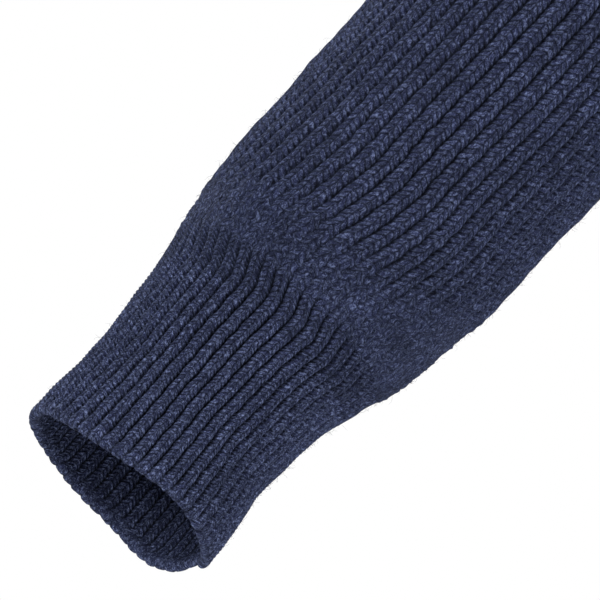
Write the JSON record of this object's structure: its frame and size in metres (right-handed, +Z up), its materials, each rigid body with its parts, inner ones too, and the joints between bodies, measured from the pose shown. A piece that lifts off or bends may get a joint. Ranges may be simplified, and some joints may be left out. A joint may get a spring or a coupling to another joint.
{
  "type": "quarter-zip sweater",
  "caption": "Ribbed knit quarter-zip sweater in its worn, hollow shape, with a stand collar, front zip, long sleeves, fitted ribbed cuffs and a hem band.",
  "frame": {"origin": "midway between the two side neck points, at the height of the shoulder tops, where a wearer's shoulders hold the sweater up", "axes": "+Z up; the front faces -Y; the wearer's right sleeve points to -X and down, and the left one to +X"},
  "size_m": [1.2582, 0.2726, 0.732],
  "materials": {
    "wool_knit": "soft matte wool rib knit in a navy melange with a light fuzz",
    "zip_tape": "matte woven navy tape",
    "zip_metal": "satin dark nickel"
  },
  "bodies": {
    "garment": {"front": "wool_knit", "back": "wool_knit", "sleeve_right": "wool_knit", "sleeve_left": "wool_knit", "cuff_right": "wool_knit", "cuff_left": "wool_knit", "hem_band": "wool_knit", "collar": "wool_knit", "zip_tape_right": "zip_tape", "zip_tape_left": "zip_tape", "zip_slider": "zip_metal", "zip_stop": "zip_metal"},
    "pull": {"zip_pull": "zip_metal"}
  },
  "joints": [
    {"name": "pull_swing", "type": "hinge", "parent": "garment", "child": "pull", "pos_m": [0, -0.06944, -0.01441], "axis": [-1, 0, 0], "range_deg": [0, 165]}
  ]
}
